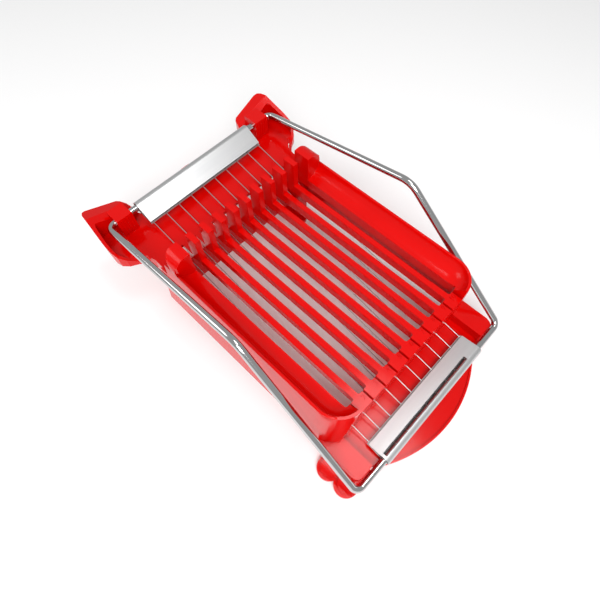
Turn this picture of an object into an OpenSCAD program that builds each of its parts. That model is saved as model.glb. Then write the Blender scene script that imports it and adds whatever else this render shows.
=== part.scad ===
// Slicer for soft foods: a red moulded base with a slotted tray on four legs,
// and a bent rod bail that carries ten stretched cutting wires down through it.
// Millimetres. X runs from the hinge to the front, Y across, Z up.
// The origin is on the table, under the middle of the whole object.

/* [Tray] */
// Height of the tray floor above the table
tray_h = 46; // [42:1:56]
// Distance from the origin to the front edge of the tray
tray_front = 65; // [52:1:78]
// Thickness of the slotted floor
floor_t = 5.8; // [4.8:0.1:7]
// Distance from the origin back to the front faces of the fingers
finger_front = 40; // [32:1:45]
// Thickness of one finger along the tray
finger_t = 7.5; // [5:0.5:9]
// Height of the fingers above the floor
finger_h = 15; // [10:1:20]
// Height of the side rim above the floor
rim_h = 6.2; // [4:0.2:9]
// Radius of the curve where the floor turns up into a side wall
cove_r = 9.5; // [9.2:0.1:12]
// Radius of the front corners of the body, outside
corner_r = 13.3; // [11.5:0.1:16]
// Width of the strip between the slot ends and the front edge
strip_w = 4.5; // [3.5:0.1:6]

/* [Slots and wires] */
// Distance between neighbouring slots, and between wires
pitch = 8.3; // [7.4:0.1:8.6]
// Width of one slot
slot_w = 5.2; // [4.4:0.1:6]
// Width of the slit that lets a wire through the front wall
slit_w = 1; // [0.9:0.1:2.2]
// Diameter of a cutting wire
wire_d = 0.5; // [0.4:0.1:0.7]
// Distance of the wires below the line that joins the two bars
wire_drop = 1.3; // [0.8:0.1:1.6]

/* [Bail] */
// Diameter of the bail rod
rod_d = 3.6; // [2.6:0.1:4.3]
// Height of the hinge bar above the tray floor
hinge_rise = 6.6; // [6:0.2:9]
// Distance from the origin back to the hinge bar
hinge_back = 84.8; // [82:0.2:88]
// Distance of the front bar in front of the tray edge
bar_ahead = 21.7; // [20:0.1:23]
// Height of the front bar above the table
bar_h = 13.8; // [13:0.1:16]
// Distance from the hinge bar forward to the bend in the arms
bend_run = 99.3; // [80:0.5:110]
// Height of the bend above the hinge bar
bend_rise = 18.4; // [12:0.2:26]
// Half the distance between the arms at the hinge
arm_half = 56.2; // [55.6:0.1:56.6]
// Half the distance between the arms at the front bar
arm_half_front = 58.2; // [57.9:0.1:60]
// Radius of the bend in the arms, on the rod's middle line
bend_r = 12; // [8:1:20]
// Radius of the rod's corners, on its middle line
rod_corner_r = 4; // [3.5:0.5:6]
// Gap between the rod and its bearings, all round
bearing_gap = 0.07; // [0.05:0.01:0.1]

/* [Wire clips] */
// Thickness of the folded sheet
sheet_t = 0.5; // [0.4:0.1:0.7]
// Half the length of a clip
clip_half = 38.5; // [38.2:0.1:40]
// Distance from the bar to the inner edge of the rear clip
rear_clip_run = 10.2; // [8:0.2:14]
// Distance from the bar to the inner edge of the front clip
front_clip_run = 9.7; // [8:0.1:12]
// Gap between the sheet and the wires, and between the rod and the wire eyes
clip_gap = 0.06; // [0.04:0.01:0.1]

/* [Body] */
// Half the overall width
half_w = 64; // [63:0.5:68]
// Distance from the origin to the rear end of the ears
rear_x = 100; // [98:0.5:104]
// Distance from the origin to the tip of the front tab
front_x = 100; // [94:0.5:112]
// Wall thickness of the moulding
wall = 2; // [1.6:0.1:2.4]
// Height of the lower edge of the side walls
side_open_h = 16; // [10:1:24]
// Height of the front legs
leg_h = 16.8; // [14:0.2:18]
// Thickness of the foot flanges
foot_t = 3; // [2:0.5:4]
// Thickness of the front and rear tabs
tab_t = 2.2; // [1.6:0.1:3]
// Radius of the rear tab
rear_tab_r = 22; // [18:0.5:24]

/* [Hidden] */
wires = 10;
eps = 0.01;
far = 300;
round_fn = 64;
floor_half = pitch * (wires - 1) / 2 + slot_w / 2 + 0.05;
rim_z = tray_h + rim_h;
// inner half width of the channel at the rim, from the cove's circle
rim_half = floor_half + sqrt(cove_r * cove_r - pow(cove_r - rim_h, 2));
rim_out = rim_half + 1.3;
skirt_out = rim_out + 3.8;
body_back = -finger_front - 13;
corner_x = tray_front + 1.4 - corner_r;
corner_y = rim_out - corner_r;
split_x = corner_x - 3;
slot_side = pitch * (wires - 1) / 2 + slot_w / 2;
lobe_w = rim_out - floor_half;
lobe_back = -finger_front - finger_t;
lobe_t = 9;
lobe_r = 6;
lobe_top_r = 7.5;
slot_front = tray_front - strip_w;
slot_back = finger_front + 16;
bar_w = pitch - slot_w;
deck_z = tray_h - 2;
hinge = [-hinge_back, tray_h + hinge_rise];
front_bar = [tray_front + bar_ahead, bar_h];
bend = [bend_run - hinge_back, hinge[1] + bend_rise];
rod_r = rod_d / 2;
// a bend is a hair thicker than the straight rod, whose ends reach into it
bend_swell = 0.02;
rod_lap = 0.1;
fold_steps = 44;
leaf_step = 0.8;
wire_r = wire_d / 2;
eye_r = rod_r + clip_gap + wire_r;
sleeve_in = eye_r + wire_r + clip_gap;
sleeve_out = sleeve_in + sheet_t;
span = norm(front_bar - hinge);
fall = atan2(hinge[1] - front_bar[1], front_bar[0] - hinge[0]);
trough_z = bar_h - sleeve_out - 0.15;
platform_z = 11;
platform_x = tray_front + 9.5;
block_in = 43;
block_out = arm_half - rod_corner_r - 0.2;
arm_pocket = arm_half + rod_r + 0.7;
leg_in = 44.5;
leg_out = 55.4;
leg_front = tray_front + 19.2;
leg_corner_r = 4;
rear_leg_x = -54;
rear_leg_in = 41;
rear_leg_t = 7;

// ---- placing helpers -------------------------------------------------
module along_x(x0, x1) {
    translate([x0, 0, 0])
    rotate([90, 0, 90])
    linear_extrude(height = x1 - x0)
    children();
}

module across_y(half) {
    translate([0, half, 0])
    rotate([90, 0, 0])
    linear_extrude(height = 2 * half)
    children();
}

module both_sides() {
    children();
    mirror([0, 1, 0])
    children();
}

// ---- moulded base ------------------------------------------------------
// half of a cross section of the body: upright line inside, leaning side
// outside; widths are measured from the line at the given start
module side_section(inset, top, bottom, start) {
    lean = (skirt_out - rim_out) / (rim_z - side_open_h);
    w_top = rim_out - start - inset + (rim_z - top) * lean;
    w_bottom = rim_out - start - inset + (rim_z - bottom) * lean;
    polygon([[0, bottom], [w_bottom, bottom], [w_top, top], [0, top]]);
}

// outer shape of the tray body from a height down, pulled in by a margin
module body_solid(inset, top, bottom) {
    front = tray_front + 1.4 - inset;
    both_sides() {
        intersection() {
            union() {
                along_x(body_back + inset, corner_x)
                side_section(inset, top, bottom, 0);
                translate([corner_x, corner_y, 0])
                rotate_extrude(angle = 90, $fn = round_fn)
                side_section(inset, top, bottom, corner_y);
            }
            translate([-far, 0, 0])
            cube([far + front, far, far]);
        }
        translate([corner_x - eps, 0, bottom])
        cube([front - corner_x + eps, corner_y, top - bottom]);
    }
}

// what is empty above the floor: flat, then a cove up to the rim
module cavity_section(start) {
    square([floor_half - start, far]);
    intersection() {
        translate([floor_half - start, cove_r])
        circle(r = cove_r, $fn = round_fn);
        square([rim_half - start, cove_r]);
    }
    translate([floor_half - start, rim_h])
    square([far, far]);
}

module tray_cavity() {
    translate([0, 0, tray_h])
    both_sides() {
        along_x(-finger_front - 11, corner_x)
        cavity_section(0);
        translate([corner_x, corner_y, 0])
        rotate_extrude(angle = 90, $fn = round_fn)
        cavity_section(corner_y);
        translate([corner_x - eps, -eps, 0])
        cube([far, corner_y + eps, far]);
        // the rim dies away towards the front edge
        translate([tray_front + 1.4, 0, 0.4])
        rotate([0, -45, 0])
        cube([far, far, far]);
    }
}

module tray_shell() {
    low = platform_z - 1;
    difference() {
        body_solid(0, rim_z, low);
        tray_cavity();
        // hollow underneath, up to the underside of the floor
        body_solid(wall, tray_h - floor_t, low - eps);
        // the sides end higher up, except round the front corners
        translate([-far, -far / 2, 0])
        cube([far + tray_front - 12, far, side_open_h]);
        // behind the fingers the floor and the rims drop to the deck
        translate([body_back - 1, -far / 2, deck_z])
        cube([lobe_back - body_back + 1, far, far]);
    }
}

module fingers() {
    for (k = [-4 : 4])
        translate([-finger_front - finger_t, k * pitch - bar_w / 2 - 0.1, deck_z - 1])
        cube([finger_t, bar_w + 0.2, finger_h + 3]);
}

// rounded posts that end the side walls beside the fingers
module side_lobes() {
    both_sides()
    intersection() {
        union() {
            translate([lobe_back + lobe_r, floor_half, 0])
            cube([lobe_t - lobe_r, lobe_w, far]);
            translate([lobe_back, floor_half, 0])
            cube([lobe_t, lobe_w - lobe_r, far]);
            translate([lobe_back + lobe_r, floor_half + lobe_w - lobe_r, 0])
            cylinder(h = far, r = lobe_r, $fn = round_fn);
        }
        along_x(lobe_back - 1, lobe_back + lobe_t + 1)
        union() {
            translate([floor_half - 1, deck_z - wall])
            square([lobe_w - lobe_top_r + 1, tray_h + finger_h - deck_z + wall]);
            translate([floor_half - 1, deck_z - wall])
            square([lobe_w + 1, tray_h + finger_h - lobe_top_r - deck_z + wall]);
            translate([floor_half + lobe_w - lobe_top_r, tray_h + finger_h - lobe_top_r])
            circle(r = lobe_top_r, $fn = round_fn);
        }
    }
}

module deck_plan() {
    polygon([
        [-finger_front - 1, -rim_out], [-59, -rim_out], [-64, -51.5], [-68, -55],
        [-74, -58], [-92, -54], [-92, -41], [-hinge_back, -36],
        [-hinge_back, 36], [-92, 41], [-92, 54], [-74, 58],
        [-68, 55], [-64, 51.5], [-59, rim_out], [-finger_front - 1, rim_out]]);
}

module deck_inner_plan() {
    polygon([
        [body_back - 1, -rim_out + wall], [-60, -rim_out + wall], [-69, -54 + wall],
        [-hinge_back + wall, -36], [-hinge_back + wall, 36],
        [-69, 54 - wall], [-60, rim_out - wall], [body_back - 1, rim_out - wall]]);
}

module rear_deck() {
    translate([0, 0, deck_z - wall])
    linear_extrude(height = wall)
    deck_plan();
    difference() {
        translate([0, 0, deck_z - 8])
        linear_extrude(height = 7)
        deck_plan();
        translate([0, 0, deck_z - 9])
        linear_extrude(height = 9)
        deck_inner_plan();
        translate([body_back - 1, -far / 2, 0])
        cube([far, far, far]);
    }
    // half-round tab at the rear
    translate([0, 0, deck_z - wall + 0.2])
    linear_extrude(height = tab_t)
    intersection() {
        translate([-74.7, 0])
        circle(r = rear_tab_r, $fn = round_fn);
        translate([-far, -far / 2])
        square([far - hinge_back + 2, far]);
    }
}

// the plan of one ear, on the +Y side
module ear_plan() {
    polygon([
        [-hinge_back, 36], [-rear_x + 2, 41.4], [-rear_x + 0.6, 43], [-rear_x, 59],
        [-rear_x + 0.8, 60.8], [-rear_x + 3, 61.8], [-90, half_w - 1.4],
        [-80, half_w - 0.2], [-75, half_w], [-71.5, half_w - 0.8], [-68.5, 60.5],
        [-66, 56], [-62.5, 52], [-60, rim_out], [-62, 46], [-80, 38]]);
}

module ear_pocket_plan() {
    polygon([
        [-89.8, 36], [-89.8, arm_pocket + 1.2], [-88, half_w - 3.2],
        [-80, half_w - 1.9], [-75, half_w - 1.7], [-72.3, half_w - 2.3],
        [-69.8, 59.5], [-67, 54.5], [-60, 48], [-60, 30], [-hinge_back - 6, 30]]);
}

// what lies under a plane that falls from the ear's horn, at a tilt along X
module ear_top(tilt) {
    translate([-93, 61, tray_h + 11.2])
    rotate([20, tilt, 0])
    translate([-far / 2, -far / 2, -far])
    cube([far, far, far]);
}

module ear() {
    difference() {
        intersection() {
            translate([0, 0, deck_z - 5])
            linear_extrude(height = 40)
            ear_plan();
            ear_top(27);
            ear_top(-8);
        }
        translate([0, 0, deck_z])
        linear_extrude(height = 60)
        ear_pocket_plan();
        translate([0, 0, deck_z - 6])
        linear_extrude(height = 6 - wall)
        ear_pocket_plan();
    }
}

module bearing_block() {
    top = hinge[1] + rod_r + 1.6;
    translate([-hinge_back - 6, block_in, deck_z - wall])
    cube([6 + rod_r + 1.6, block_out - block_in, top - deck_z + wall]);
    // upright ribs on the front face
    for (y = [block_in + 1.5 : 1.6 : block_out - 1])
        translate([-hinge_back + rod_r + 1, y, deck_z - wall])
        cube([1, 0.7, top - deck_z + wall - 1]);
}

// outline of a foot: two round bulges outwards, on the +Y side
module foot_plan(x, reach, inner, inset) {
    for (s = [-1, 1])
        translate([x + s * 5.5, reach - 6.2])
        circle(r = 6.2 - inset, $fn = round_fn);
    translate([x - 10 + inset, inner])
    square([20 - 2 * inset, reach - inner - 6]);
}

module foot(x, reach, inner) {
    linear_extrude(height = foot_t)
    foot_plan(x, reach, inner, 0);
    linear_extrude(height = foot_t + 2.4)
    foot_plan(x, reach, inner, 1.7);
}

// the rear legs stand inside the side walls
module rear_leg() {
    difference() {
        union() {
            translate([rear_leg_x - 8, rear_leg_in, 0])
            cube([16, rear_leg_t, deck_z - 1]);
            foot(rear_leg_x, rear_leg_in + rear_leg_t, rear_leg_in - 4);
        }
        translate([rear_leg_x - 8 + wall, rear_leg_in + wall, -eps])
        cube([16 - 2 * wall, rear_leg_t - 2 * wall, tray_h - floor_t - wall]);
    }
}

module leg_plan(inset) {
    x0 = tray_front - 7 + inset;
    x1 = leg_front - inset;
    y0 = leg_in + inset;
    y1 = leg_out - inset;
    translate([x0, y0])
    square([x1 - x0 - leg_corner_r, y1 - y0]);
    translate([x0, y0])
    square([x1 - x0, y1 - y0 - leg_corner_r]);
    translate([x1 - leg_corner_r, y1 - leg_corner_r])
    circle(r = leg_corner_r, $fn = round_fn);
}

module front_leg() {
    difference() {
        union() {
            linear_extrude(height = leg_h)
            leg_plan(0);
            foot(tray_front + 10.5, half_w, leg_in);
        }
        translate([0, 0, -eps])
        linear_extrude(height = leg_h - wall)
        leg_plan(wall);
    }
}

// platform ahead of the tray, and the trough where the front clip rests
module front_block() {
    nose = tray_front + 21.4;
    half = leg_in + 1;
    difference() {
        union() {
            translate([tray_front - 2, -half, 0])
            cube([platform_x - tray_front + 2, 2 * half, platform_z]);
            translate([platform_x - 1, -half, 0])
            cube([nose - platform_x - 3, 2 * half, trough_z]);
            translate([nose - 5, -half + 5, 0])
            cube([5, 2 * half - 10, trough_z]);
            for (s = [-1, 1])
                translate([nose - 5, s * (half - 5), 0])
                cylinder(h = trough_z, r = 5, $fn = round_fn);
        }
        translate([tray_front - 2 + wall, -half + wall, -eps])
        cube([nose - 5 - tray_front + 2 - wall, 2 * half - 2 * wall, trough_z - wall]);
    }
    // rounded tab at table level, with a thin raised rim
    tab_reach = front_x - nose;
    tab_half = 42;
    tab_r = (tab_reach * tab_reach + tab_half * tab_half) / (2 * tab_reach);
    difference() {
        linear_extrude(height = tab_t + 0.8)
        intersection() {
            translate([front_x - tab_r, 0])
            circle(r = tab_r, $fn = 4 * round_fn);
            translate([nose - 1, -tab_half])
            square([front_x - nose + 1, 2 * tab_half]);
        }
        translate([front_x - tab_r, 0, tab_t])
        cylinder(h = 5, r = tab_r - 1.1, $fn = 4 * round_fn);
    }
}

module slot_cuts() {
    for (k = [0 : wires - 1]) {
        y = (k - (wires - 1) / 2) * pitch;
        translate([-slot_back, y - slot_w / 2, tray_h - floor_t - 6])
        cube([slot_back + slot_front - 1, slot_w, far]);
        // rounded front end
        translate([slot_front - 2, y - slot_w / 2 + 1, tray_h - floor_t - 6])
        cube([2, slot_w - 2, far]);
        for (s = [-1, 1])
            translate([slot_front - 1, y + s * (slot_w / 2 - 1), tray_h - floor_t - 6])
            cylinder(h = far, r = 1, $fn = 32);
        translate([slot_front - 1, y - slit_w / 2, side_open_h - 2.5])
        cube([strip_w + 6, slit_w, far]);
    }
}

// the bearing bores run through the blocks only
module bearing_bores() {
    translate([-hinge_back, 0, hinge[1]])
    rotate([90, 0, 0])
    cylinder(h = 2 * block_out + 4, r = rod_r + bearing_gap, center = true, $fn = round_fn);
}

module base() {
    difference() {
        union() {
            tray_shell();
            fingers();
            side_lobes();
            rear_deck();
            both_sides() {
                ear();
                bearing_block();
                rear_leg();
                front_leg();
            }
            front_block();
        }
        slot_cuts();
        bearing_bores();
    }
}

// the base is one moulding; these four nodes and the floor bars are its parts,
// cut apart on flat planes where the slots begin and end
module base_rear() {
    color("red")
    intersection() {
        base();
        translate([-far, -far / 2, -1])
        cube([far - finger_front, far, far]);
    }
}

module base_front() {
    color("red")
    intersection() {
        base();
        translate([split_x, -far / 2, -1])
        cube([far, far, far]);
    }
}

module side_wall(side) {
    color("red")
    intersection() {
        base();
        translate([-finger_front, side > 0 ? slot_side : -slot_side - far, -1])
        cube([finger_front + split_x, far, far]);
    }
}

module floor_bar(k) {
    color("red")
    translate([-finger_front, (k - 5) * pitch - bar_w / 2, tray_h - floor_t])
    cube([finger_front + split_x, bar_w, floor_t]);
}

// ---- bail: a bent rod with six corners ---------------------------------
function unit(v) = v / norm(v);
corners = [
    [hinge[0], arm_half, hinge[1]],
    [bend[0], arm_half, bend[1]],
    [front_bar[0], arm_half_front, front_bar[1]],
    [front_bar[0], -arm_half_front, front_bar[1]],
    [bend[0], -arm_half, bend[1]],
    [hinge[0], -arm_half, hinge[1]]];
radii = [rod_corner_r, bend_r, rod_corner_r, rod_corner_r, bend_r, rod_corner_r];
function corner(i) = corners[(i + 6) % 6];
function heading(i) = unit(corner(i + 1) - corner(i));
function turn(i) = acos(heading(i - 1) * heading(i));
function trim(i) = radii[(i + 6) % 6] * tan(turn(i) / 2);

module rod_straight(i) {
    d = heading(i);
    a = corner(i) + d * trim(i);
    len = norm(corner(i + 1) - corner(i)) - trim(i) - trim(i + 1) + 2 * rod_lap;
    translate(a - d * rod_lap)
    rotate([0, acos(d[2]), atan2(d[1], d[0])])
    cylinder(h = len, r = rod_r, $fn = round_fn);
}

module rod_bend(i) {
    d = heading(i - 1);
    n = unit(cross(d, heading(i)));
    to_centre = cross(n, d);
    start = corner(i) - d * trim(i);
    x = -to_centre;
    translate(start + to_centre * radii[i])
    rotate([atan2(d[2], n[2]), -asin(x[2]), atan2(x[1], x[0])])
    rotate_extrude(angle = turn(i), $fn = round_fn)
    translate([radii[i], 0])
    circle(r = rod_r + bend_swell, $fn = round_fn);
}

module bail_frame() {
    color("silver")
    for (i = [0 : 5]) {
        rod_straight(i);
        rod_bend(i);
    }
}

// ---- clips: one sheet folded round the bar, its leaves closing on the wires
// angle at which a line from the point [u, v] touches the sleeve's inner circle
function touch(u, v, side) = atan2(v, u) + side * acos(sleeve_in / norm([u, v]));
function ray(a, r) = [r * cos(a), r * sin(a)];

module clip_section(run) {
    upper = [run, -wire_drop + wire_r + clip_gap];
    lower = [run + leaf_step, -wire_drop - wire_r - clip_gap];
    a_up = touch(upper[0], upper[1], 1);
    a_low = touch(lower[0], lower[1], -1) + 360;
    arc = [for (i = [0 : fold_steps]) a_up + (a_low - a_up) * i / fold_steps];
    outer = [for (a = arc) ray(a, sleeve_out)];
    inner = [for (i = [fold_steps : -1 : 0]) ray(arc[i], sleeve_in)];
    polygon(concat(
        [upper, upper + ray(a_up, sheet_t)], outer,
        [lower + ray(a_low, sheet_t), lower], inner));
}

module clip(run, slot_side) {
    difference() {
        across_y(clip_half)
        clip_section(run);
        // slot along one leaf, where the wire eyes show
        translate([0.8, -clip_half + 1.5, slot_side > 0 ? 1.2 : -sleeve_out - 1])
        cube([2.2, 2 * clip_half - 11, sleeve_out]);
    }
}

module rear_clip() {
    color("gainsboro")
    translate([hinge[0], 0, hinge[1]])
    rotate([0, fall, 0])
    clip(rear_clip_run, -1);
}

module front_clip() {
    color("gainsboro")
    translate([front_bar[0], 0, front_bar[1]])
    rotate([0, fall, 0])
    mirror([1, 0, 0])
    clip(front_clip_run, 1);
}

// ---- wires: straight, with an eye round each bar ------------------------
module wire(k) {
    reach = sqrt(eye_r * eye_r - wire_drop * wire_drop);
    color("lightgray")
    translate([hinge[0], (k - (wires + 1) / 2) * pitch, hinge[1]])
    rotate([0, fall, 0])
    union() {
        for (x = [0, span])
            translate([x, 0, 0])
            rotate([90, 0, 0])
            rotate_extrude($fn = round_fn)
            translate([eye_r, 0])
            circle(r = wire_r, $fn = 16);
        translate([reach - rod_lap, 0, -wire_drop])
        rotate([0, 90, 0])
        cylinder(h = span - 2 * (reach - rod_lap), r = wire_r, $fn = 16);
    }
}

base_rear();
base_front();
side_wall(-1);  // wall_left
side_wall(1);  // wall_right
floor_bar(1);  // floor_bar_1
floor_bar(2);  // floor_bar_2
floor_bar(3);  // floor_bar_3
floor_bar(4);  // floor_bar_4
floor_bar(5);  // floor_bar_5
floor_bar(6);  // floor_bar_6
floor_bar(7);  // floor_bar_7
floor_bar(8);  // floor_bar_8
floor_bar(9);  // floor_bar_9
bail_frame();
rear_clip();
front_clip();
wire(1);  // wire_01
wire(2);  // wire_02
wire(3);  // wire_03
wire(4);  // wire_04
wire(5);  // wire_05
wire(6);  // wire_06
wire(7);  // wire_07
wire(8);  // wire_08
wire(9);  // wire_09
wire(10);  // wire_10
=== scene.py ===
"""Wire egg slicer: red moulded base, steel rod bail with ten wires. Metres, +Z up, hinge at -X."""

import math

import bpy
import numpy as np
from mathutils import Matrix, Vector


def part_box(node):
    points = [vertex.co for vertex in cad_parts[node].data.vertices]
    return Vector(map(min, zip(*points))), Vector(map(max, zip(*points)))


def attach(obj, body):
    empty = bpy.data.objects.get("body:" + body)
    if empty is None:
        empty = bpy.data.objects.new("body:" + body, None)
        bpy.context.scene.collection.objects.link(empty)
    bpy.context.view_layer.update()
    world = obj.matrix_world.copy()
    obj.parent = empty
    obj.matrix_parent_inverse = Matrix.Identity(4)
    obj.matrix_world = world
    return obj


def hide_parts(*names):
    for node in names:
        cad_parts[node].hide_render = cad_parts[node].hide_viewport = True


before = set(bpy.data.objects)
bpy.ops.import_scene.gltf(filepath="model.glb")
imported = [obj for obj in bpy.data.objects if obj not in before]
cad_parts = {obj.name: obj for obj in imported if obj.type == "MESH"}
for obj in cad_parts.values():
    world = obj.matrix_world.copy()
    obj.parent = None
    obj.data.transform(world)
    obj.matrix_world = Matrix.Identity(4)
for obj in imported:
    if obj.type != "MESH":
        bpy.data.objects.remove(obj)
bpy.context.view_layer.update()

# ---- camera ------------------------------------------------------------------
# Stands high over the front corner on the -Y side and looks down into the tray.
azimuth = math.radians(45.14)
elevation = math.radians(63.45)
roll = math.radians(-1.33)
back = Vector((math.sin(azimuth) * math.cos(elevation),
               -math.cos(azimuth) * math.cos(elevation), math.sin(elevation)))
right = Vector((math.cos(azimuth), math.sin(azimuth), 0))
up = back.cross(right)
turned_right = math.cos(roll) * right + math.sin(roll) * up
turned_up = math.cos(roll) * up - math.sin(roll) * right
camera_data = bpy.data.cameras.new("camera")
camera_data.sensor_width = 36
camera_data.lens = 25.766
camera_data.clip_start = 0.005
camera = bpy.data.objects.new("camera", camera_data)
camera.matrix_world = Matrix((turned_right, turned_up, back)).transposed().to_4x4()
camera.location = (0.07567, -0.08099, 0.22908)
bpy.context.scene.collection.objects.link(camera)
bpy.context.scene.camera = camera

# ---- floor and light ---------------------------------------------------------
# A white studio table top, a large soft light beside the camera, a small one straight above
# the front end and a weak one from the rear.
bpy.context.scene.view_settings.view_transform = "Standard"
bpy.ops.mesh.primitive_plane_add(size=8, location=(0, 0, 0))
floor = bpy.context.object
floor.name = "studio_floor"
floor_paint = bpy.data.materials.new("floor_paint")
floor_paint.use_nodes = True
floor_shader = floor_paint.node_tree.nodes["Principled BSDF"]
floor_shader.inputs["Base Color"].default_value = (0.95, 0.95, 0.95, 1)
floor_shader.inputs["Roughness"].default_value = 0.9
floor_shader.inputs["Specular IOR Level"].default_value = 0.1
floor.data.materials.append(floor_paint)

world = bpy.data.worlds.new("studio")
bpy.context.scene.world = world
world.use_nodes = True
world.node_tree.nodes["Background"].inputs["Color"].default_value = (1, 1, 1, 1)
world.node_tree.nodes["Background"].inputs["Strength"].default_value = 0.5
for name, spot, aim, width, power in (
    ("key_light", (0.38, -0.34, 0.62), (0, 0, 0.03), 0.4, 4.4),
    ("top_light", (0.08, 0.07, 0.6), (0.07, 0, 0.01), 0.16, 0.75),
    ("rear_light", (-0.5, -0.35, 0.5), (0, 0, 0.03), 0.3, 0.9),
):
    light_data = bpy.data.lights.new(name, "AREA")
    light_data.energy = power
    light_data.size = width
    light = bpy.data.objects.new(name, light_data)
    light.location = spot
    light.rotation_euler = (Vector(aim) - Vector(spot)).to_track_quat("-Z", "Y").to_euler()
    bpy.context.scene.collection.objects.link(light)


# ---- base moulding -----------------------------------------------------------
# Glossy red plastic, moulded in one piece; the CAD holds it as 13 nodes that meet on flat planes.
# Its sharp edges are softened, but not on those planes, so that no seam shows.
red = bpy.data.materials.new("red_plastic")
red.use_nodes = True
nodes, links = red.node_tree.nodes, red.node_tree.links
red_shader = nodes["Principled BSDF"]
red_shader.inputs["Roughness"].default_value = 0.16
red_shader.inputs["Specular IOR Level"].default_value = 0.22
place = nodes.new("ShaderNodeTexCoord")
cloud = nodes.new("ShaderNodeTexNoise")
cloud.inputs["Scale"].default_value = 60
mix = nodes.new("ShaderNodeMix")
mix.data_type = "RGBA"
mix.inputs["A"].default_value = (0.60, 0.0006, 0.0002, 1)
mix.inputs["B"].default_value = (0.67, 0.0012, 0.0004, 1)
links.new(place.outputs["Object"], cloud.inputs["Vector"])
links.new(cloud.outputs["Fac"], mix.inputs["Factor"])
links.new(mix.outputs["Result"], red_shader.inputs["Base Color"])
ripple = nodes.new("ShaderNodeTexNoise")
ripple.inputs["Scale"].default_value = 55
bump = nodes.new("ShaderNodeBump")
bump.inputs["Strength"].default_value = 0.06
bump.inputs["Distance"].default_value = 0.0008
links.new(place.outputs["Object"], ripple.inputs["Vector"])
links.new(ripple.outputs["Fac"], bump.inputs["Height"])
links.new(bump.outputs["Normal"], red_shader.inputs["Normal"])

sharp_turn = math.radians(30)
touching = 1e-6
wall_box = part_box("wall_left")
seams = (wall_box[0][0], wall_box[1][0])
base_nodes = ["base_rear", "base_front", "wall_left", "wall_right"]
base_nodes += ["floor_bar_%d" % k for k in range(1, 10)]
for node in base_nodes:
    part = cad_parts[node]
    mesh = part.data
    mesh.materials.clear()
    mesh.materials.append(red)
    # An edge is sharp where the unit normals a and b of its two faces turn past t: there
    # |a + b|^2 < 2 + 2 cos t. Points that share a rounded place count as one point.
    spots = np.empty(len(mesh.vertices) * 3)
    mesh.vertices.foreach_get("co", spots)
    spots = spots.reshape(-1, 3)
    ends = np.empty(len(mesh.edges) * 2, dtype=int)
    mesh.edges.foreach_get("vertices", ends)
    ends = ends.reshape(-1, 2)
    normals = np.empty(len(mesh.polygons) * 3)
    mesh.polygons.foreach_get("normal", normals)
    corner_edge = np.empty(len(mesh.loops), dtype=int)
    mesh.loops.foreach_get("edge_index", corner_edge)
    normal_sum = np.zeros((len(ends), 3))
    np.add.at(normal_sum, corner_edge, np.repeat(normals.reshape(-1, 3), 3, axis=0))
    places = np.round(spots * 10 / touching).astype(np.int64)
    place_key = np.unique(places, axis=0, return_inverse=True)[1].reshape(-1)
    pairs = np.sort(place_key[ends], axis=1)
    edge_key = np.unique(pairs, axis=0, return_inverse=True)[1].reshape(-1)
    shared_sum = np.zeros((edge_key.max() + 1, 3))
    np.add.at(shared_sum, edge_key, normal_sum)
    faces_met = np.bincount(edge_key, weights=np.bincount(corner_edge, minlength=len(ends)))
    turned = (shared_sum ** 2).sum(1) < 2 + 2 * math.cos(sharp_turn)
    sharp = (turned & (faces_met == 2))[edge_key]
    marks = mesh.attributes.get("sharp_edge") or mesh.attributes.new("sharp_edge", "BOOLEAN", "EDGE")
    marks.data.foreach_set("value", sharp)
    softened = sharp.copy()
    for seam in seams:
        softened &= np.any(np.abs(spots[ends, 0] - seam) > 10 * touching, axis=1)
    weight = mesh.attributes.new("bevel_weight_edge", "FLOAT", "EDGE")
    weight.data.foreach_set("value", softened.astype(np.float32))
    joined = part.modifiers.new("joined", "WELD")
    joined.merge_threshold = touching
    flat_faces = part.modifiers.new("flat_faces", "DECIMATE")
    flat_faces.decimate_type = "DISSOLVE"
    flat_faces.angle_limit = math.radians(0.2)
    flat_faces.delimit = {"SHARP"}
    soft_edge = part.modifiers.new("soft_edge", "BEVEL")
    soft_edge.width = 0.00035
    soft_edge.segments = 2
    soft_edge.limit_method = "WEIGHT"
    crisp_edge = part.modifiers.new("crisp_edge", "EDGE_SPLIT")
    crisp_edge.split_angle = math.radians(32)
    crisp_edge.use_edge_sharp = False

# ---- rim bead ----------------------------------------------------------------
# The rounded top of each side wall and of its front corner; part of the red moulding.
def grid_faces(rings, sides, closed):
    """Quads of a grid of rings by sides; the sides always wrap, and the rings wrap if closed."""
    ring, side = np.meshgrid(np.arange(rings if closed else rings - 1), np.arange(sides), indexing="ij")
    ring, side = ring.ravel(), side.ravel()
    next_ring, next_side = (ring + 1) % rings, (side + 1) % sides
    return np.stack([ring * sides + side, next_ring * sides + side,
                     next_ring * sides + next_side, ring * sides + next_side], 1)


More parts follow.
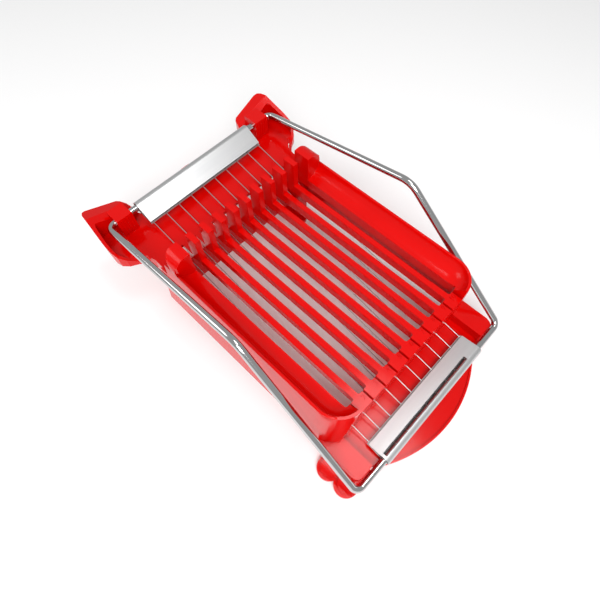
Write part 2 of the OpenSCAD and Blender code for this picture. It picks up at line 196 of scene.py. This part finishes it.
def tube(path, across, height, sides, closed, reference):
    """Rings (across cos v, height sin v) set square to a path. The reference is a direction that
    the path never takes. An open tube ends in a fan of triangles round the path's last point."""
    tangent = (np.roll(path, -1, 0) - np.roll(path, 1, 0)) if closed else np.gradient(path, axis=0)
    tangent /= np.linalg.norm(tangent, axis=1)[:, None]
    side = np.cross(tangent, reference)
    side /= np.linalg.norm(side, axis=1)[:, None]
    rise = np.cross(side, tangent)
    v = np.linspace(0, 2 * np.pi, sides, endpoint=False)
    points = (path[:, None] + across * np.cos(v)[None, :, None] * side[:, None]
              + height * np.sin(v)[None, :, None] * rise[:, None]).reshape(-1, 3)
    faces = grid_faces(len(path), sides, closed).tolist()
    if not closed:
        hub = len(points)
        points = np.vstack([points, path[:1], path[-1:]])
        j = np.arange(sides)
        first = np.stack([np.full(sides, hub), j, (j + 1) % sides], 1)
        last = (len(path) - 1) * sides
        end = np.stack([np.full(sides, hub + 1), last + (j + 1) % sides, last + j], 1)
        faces += first.tolist() + end.tolist()
    return points, faces


rim_top = 0.0522
rim_middle = 0.04955
bead_start = -0.038
corner_middle = (0.0531, 0.03694)
corner_reach = rim_middle - corner_middle[1]
fade_front, fade_height = 0.0664, 0.0464
bead_sink = 0.0005
bead_across, bead_height = 0.00078, 0.00085
for name, sign in (("rim_bead_left", -1), ("rim_bead_right", 1)):
    angle = np.linspace(np.pi / 2, np.radians(12), 24)
    run = np.linspace(bead_start, corner_middle[0], 30)[:-1]
    x = np.concatenate([run, corner_middle[0] + corner_reach * np.cos(angle)])
    bent_y = corner_middle[1] + corner_reach * np.sin(angle)
    y = np.concatenate([np.full(len(run), rim_middle), bent_y])
    z = np.minimum(rim_top, fade_height + (fade_front - x)) - bead_sink
    path = np.stack([x, sign * y, z], 1)
    points, faces = tube(path, bead_across, bead_height, 12, False, (0, 0, 1))
    piece = bpy.data.meshes.new(name)
    piece.from_pydata(points.tolist(), [], faces)
    piece.shade_smooth()
    bead = bpy.data.objects.new(name, piece)
    bpy.context.scene.collection.objects.link(bead)
    piece.materials.append(red)
    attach(bead, "base")

# ---- slice numerals ----------------------------------------------------------
# Raised figures 1 to 10 on the strip in front of the slots; moulded with the base.
slot_pitch = 0.0083
strip_x, strip_z = 0.0627, 0.0461
beside_slit = 0.0009
quarter_turn = Matrix.Rotation(math.pi / 2, 4, "Z")
for k in range(10):
    words = bpy.data.curves.new("numeral_%02d" % (k + 1), "FONT")
    words.body = str(k + 1)
    words.size = 0.0036
    words.extrude = 0.0004
    words.align_x = "RIGHT"
    words.align_y = "CENTER"
    letter = bpy.data.objects.new("numeral_%02d" % (k + 1), words)
    bpy.context.scene.collection.objects.link(letter)
    bpy.context.view_layer.update()
    shape = bpy.data.meshes.new_from_object(letter)
    bpy.data.objects.remove(letter)
    across = (k - 4.5) * slot_pitch - beside_slit
    shape.transform(Matrix.Translation((strip_x, across, strip_z)) @ quarter_turn)
    figure = bpy.data.objects.new("numeral_%02d" % (k + 1), shape)
    bpy.context.scene.collection.objects.link(figure)
    shape.materials.clear()
    shape.materials.append(red)
    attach(figure, "base")


# ---- steel finishes ----------------------------------------------------------
# Polished rod, satin folded sheet and drawn wire: stainless steel with faint drawing lines.
def steel(name, tint, rough, stretch, strength):
    """Stainless steel whose fine lines run along the axis with the smallest stretch."""
    material = bpy.data.materials.new(name)
    material.use_nodes = True
    tree = material.node_tree
    shader = tree.nodes["Principled BSDF"]
    shader.inputs["Metallic"].default_value = 1
    shader.inputs["Roughness"].default_value = rough
    spot = tree.nodes.new("ShaderNodeTexCoord")
    scale = tree.nodes.new("ShaderNodeMapping")
    scale.inputs["Scale"].default_value = stretch
    grain = tree.nodes.new("ShaderNodeTexNoise")
    grain.inputs["Scale"].default_value = 400
    blend = tree.nodes.new("ShaderNodeMix")
    blend.data_type = "RGBA"
    blend.inputs["A"].default_value = (tint * 0.86, tint * 0.87, tint * 0.88, 1)
    blend.inputs["B"].default_value = (tint, tint, tint, 1)
    ridge = tree.nodes.new("ShaderNodeBump")
    ridge.inputs["Strength"].default_value = strength
    ridge.inputs["Distance"].default_value = 0.0002
    tree.links.new(spot.outputs["Object"], scale.inputs["Vector"])
    tree.links.new(scale.outputs["Vector"], grain.inputs["Vector"])
    tree.links.new(grain.outputs["Fac"], blend.inputs["Factor"])
    tree.links.new(blend.outputs["Result"], shader.inputs["Base Color"])
    tree.links.new(grain.outputs["Fac"], ridge.inputs["Height"])
    tree.links.new(ridge.outputs["Normal"], shader.inputs["Normal"])
    return material


rod_steel = steel("polished_rod", 0.56, 0.12, (0.3, 0.3, 0.3), 0.05)
sheet_steel = steel("satin_sheet", 0.66, 0.42, (1, 0.06, 1), 0.04)
wire_steel = steel("cutting_wire", 0.5, 0.3, (0.05, 1, 1), 0.05)

# ---- clips and wires ---------------------------------------------------------
# Sheet folded round each bar and closed on the wires; wires with an eye round each bar.
for slot, names, steel_finish in (
    ("satin_sheet", ["rear_clip", "front_clip"], sheet_steel),
    ("cutting_wire", ["wire_%02d" % k for k in range(1, 11)], wire_steel),
):
    for name in names:
        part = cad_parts[name]
        part.data.materials.clear()
        part.data.materials.append(steel_finish)
        part.data.set_sharp_from_angle(angle=math.radians(30))

# ---- bail rod ----------------------------------------------------------------
# One closed loop of polished round rod, bent at six corners; stands for the CAD rod.
def bent_loop(corners, radii, steps):
    """Straight runs joined by arcs, as a closed loop. At corner P with unit headings a and b and
    turn angle t, the arc of radius r is P - a r tan(t/2) + r (a sin u + n (1 - cos u)), with u
    from 0 to t and n square to a in the plane of the turn."""
    corners = np.array(corners)
    count = len(corners)
    arcs = []
    for k in range(count):
        here, radius = corners[k], radii[k]
        a = here - corners[k - 1]
        b = corners[(k + 1) % count] - here
        a, b = a / np.linalg.norm(a), b / np.linalg.norm(b)
        turn = np.arccos(np.clip(a @ b, -1, 1))
        n = b - a * (a @ b)
        n /= np.linalg.norm(n)
        u = np.linspace(0, turn, steps)[:, None]
        start = here - a * radius * np.tan(turn / 2)
        arcs.append(start + radius * (a * np.sin(u) + n * (1 - np.cos(u))))
    return np.concatenate(arcs)


rod_radius = 0.0018
hinge = (-0.0848, 0.0526)
bend = (0.0145, 0.071)
nose = (0.0867, 0.0138)
arm, arm_front = 0.0562, 0.0582
corner_r, bend_r = 0.004, 0.012
loop = bent_loop(
    [(hinge[0], arm, hinge[1]), (bend[0], arm, bend[1]), (nose[0], arm_front, nose[1]),
     (nose[0], -arm_front, nose[1]), (bend[0], -arm, bend[1]), (hinge[0], -arm, hinge[1])],
    [corner_r, bend_r, corner_r, corner_r, bend_r, corner_r], 14)
points, faces = tube(loop, rod_radius, rod_radius, 32, True, (0.2, 0, 0.98))
rod_mesh = bpy.data.meshes.new("bail_rod")
rod_mesh.from_pydata(points.tolist(), [], faces)
rod_mesh.shade_smooth()
rod = bpy.data.objects.new("bail_rod", rod_mesh)
bpy.context.scene.collection.objects.link(rod)
rod_mesh.materials.append(rod_steel)
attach(rod, "bail")
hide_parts("bail_frame")
